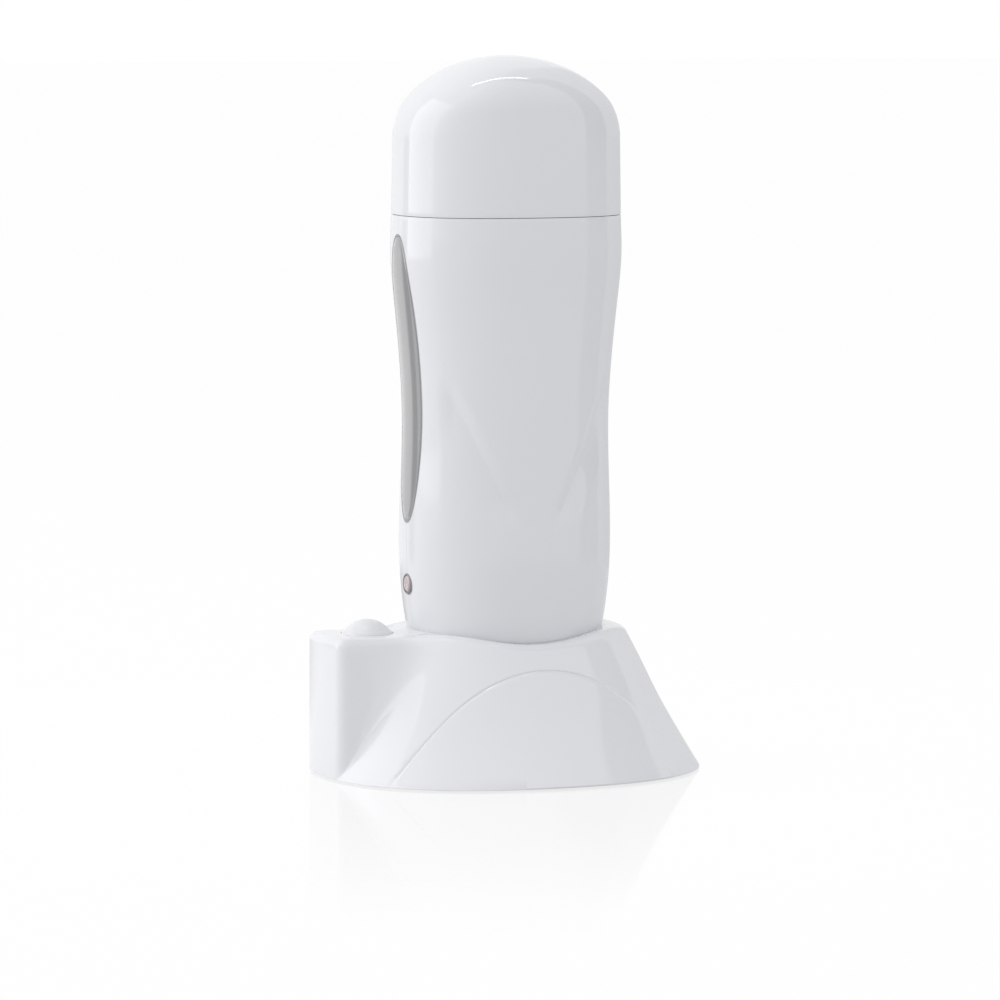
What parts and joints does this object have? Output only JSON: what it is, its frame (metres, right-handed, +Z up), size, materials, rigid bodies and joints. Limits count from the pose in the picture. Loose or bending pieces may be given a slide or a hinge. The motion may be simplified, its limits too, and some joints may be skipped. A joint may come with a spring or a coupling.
{
  "type": "roll on wax heater",
  "caption": "Cartridge wax heater: a waisted handset with a pull-off domed cap and a side window, standing in a flared docking base with a domed push button.",
  "frame": {"origin": "centre of the footprint on the table plane, below the handset's axis", "axes": "+Z up along the handset's axis, -Y towards the front with the arch panel, -X towards the button block"},
  "size_m": [0.1184, 0.1004, 0.215],
  "materials": {
    "gloss_white_abs": "high-gloss white injection-moulded ABS",
    "satin_white_abs": "satin white moulded ABS, inner faces",
    "smoked_window": "smoked translucent polycarbonate, glossy",
    "window_rubber": "dark soft frame",
    "bezel_black": "black gloss bezel",
    "indicator_lens": "translucent rose indicator lens, unlit",
    "neon_glass": "clear glass neon tube",
    "well_aluminium": "deep-drawn aluminium",
    "heater_ceramic": "PTC heater in an aluminium plate",
    "foam_pad": "silicone foam pad",
    "fuse_metal": "tinned metal case",
    "board_laminate": "glass-fibre circuit board",
    "resistor_body": "lacquered resistor",
    "plated_brass": "nickel-free turned brass",
    "pin_steel": "nickel-plated pins",
    "screw_steel": "zinc-plated steel",
    "black_nylon": "black moulded nylon",
    "terminal_nylon": "natural nylon",
    "foot_rubber": "grey-black rubber",
    "gland_rubber": "grey rubber grommet",
    "brown_pvc": "brown wire insulation",
    "blue_pvc": "blue wire insulation"
  },
  "bodies": {
    "base": {"base_housing": "gloss_white_abs", "base_floor_plate": "satin_white_abs", "rubber_feet": "foot_rubber", "base_screws": "screw_steel", "dock_connector": "black_nylon", "dock_contacts": "plated_brass", "button_spring": "gland_rubber", "switch_body": "black_nylon", "switch_board": "board_laminate", "cord_gland": "gland_rubber", "terminal_block": "terminal_nylon", "terminal_screws": "plated_brass", "base_wire_live": "brown_pvc", "base_wire_neutral": "blue_pvc"},
    "power_button": {"power_button": "gloss_white_abs", "switch_plunger": "black_nylon"},
    "handset": {"handset_front_shell": "gloss_white_abs", "handset_rear_shell": "gloss_white_abs", "neck_ring": "satin_white_abs", "window_lens": "smoked_window", "window_frame": "window_rubber", "indicator_bezel": "bezel_black", "indicator_lens": "indicator_lens", "neon_lamp": "neon_glass", "heating_well": "well_aluminium", "ptc_heater_front": "heater_ceramic", "ptc_heater_rear": "heater_ceramic", "insulation_pad_front": "foam_pad", "insulation_pad_rear": "foam_pad", "thermal_fuse": "fuse_metal", "handset_inlet": "black_nylon", "inlet_pins": "pin_steel", "circuit_board": "board_laminate", "board_screws": "screw_steel", "lamp_resistor": "resistor_body", "handset_screws": "screw_steel", "handset_wire_live": "brown_pvc", "handset_wire_neutral": "blue_pvc"},
    "cap": {"cap_shell": "gloss_white_abs"}
  },
  "joints": [
    {"name": "handset_lift", "type": "slide", "parent": "base", "child": "handset", "axis": [0, 0, 1], "range_m": [0, 0.08]},
    {"name": "cap_pull", "type": "slide", "parent": "handset", "child": "cap", "axis": [0, 0, 1], "range_m": [0, 0.06]},
    {"name": "power_press", "type": "slide", "parent": "base", "child": "power_button", "axis": [0, 0, -1], "range_m": [0, 0.002], "stiffness_N_per_m": 300, "springref_m": -0.002, "deforming": ["button_spring"]}
  ]
}
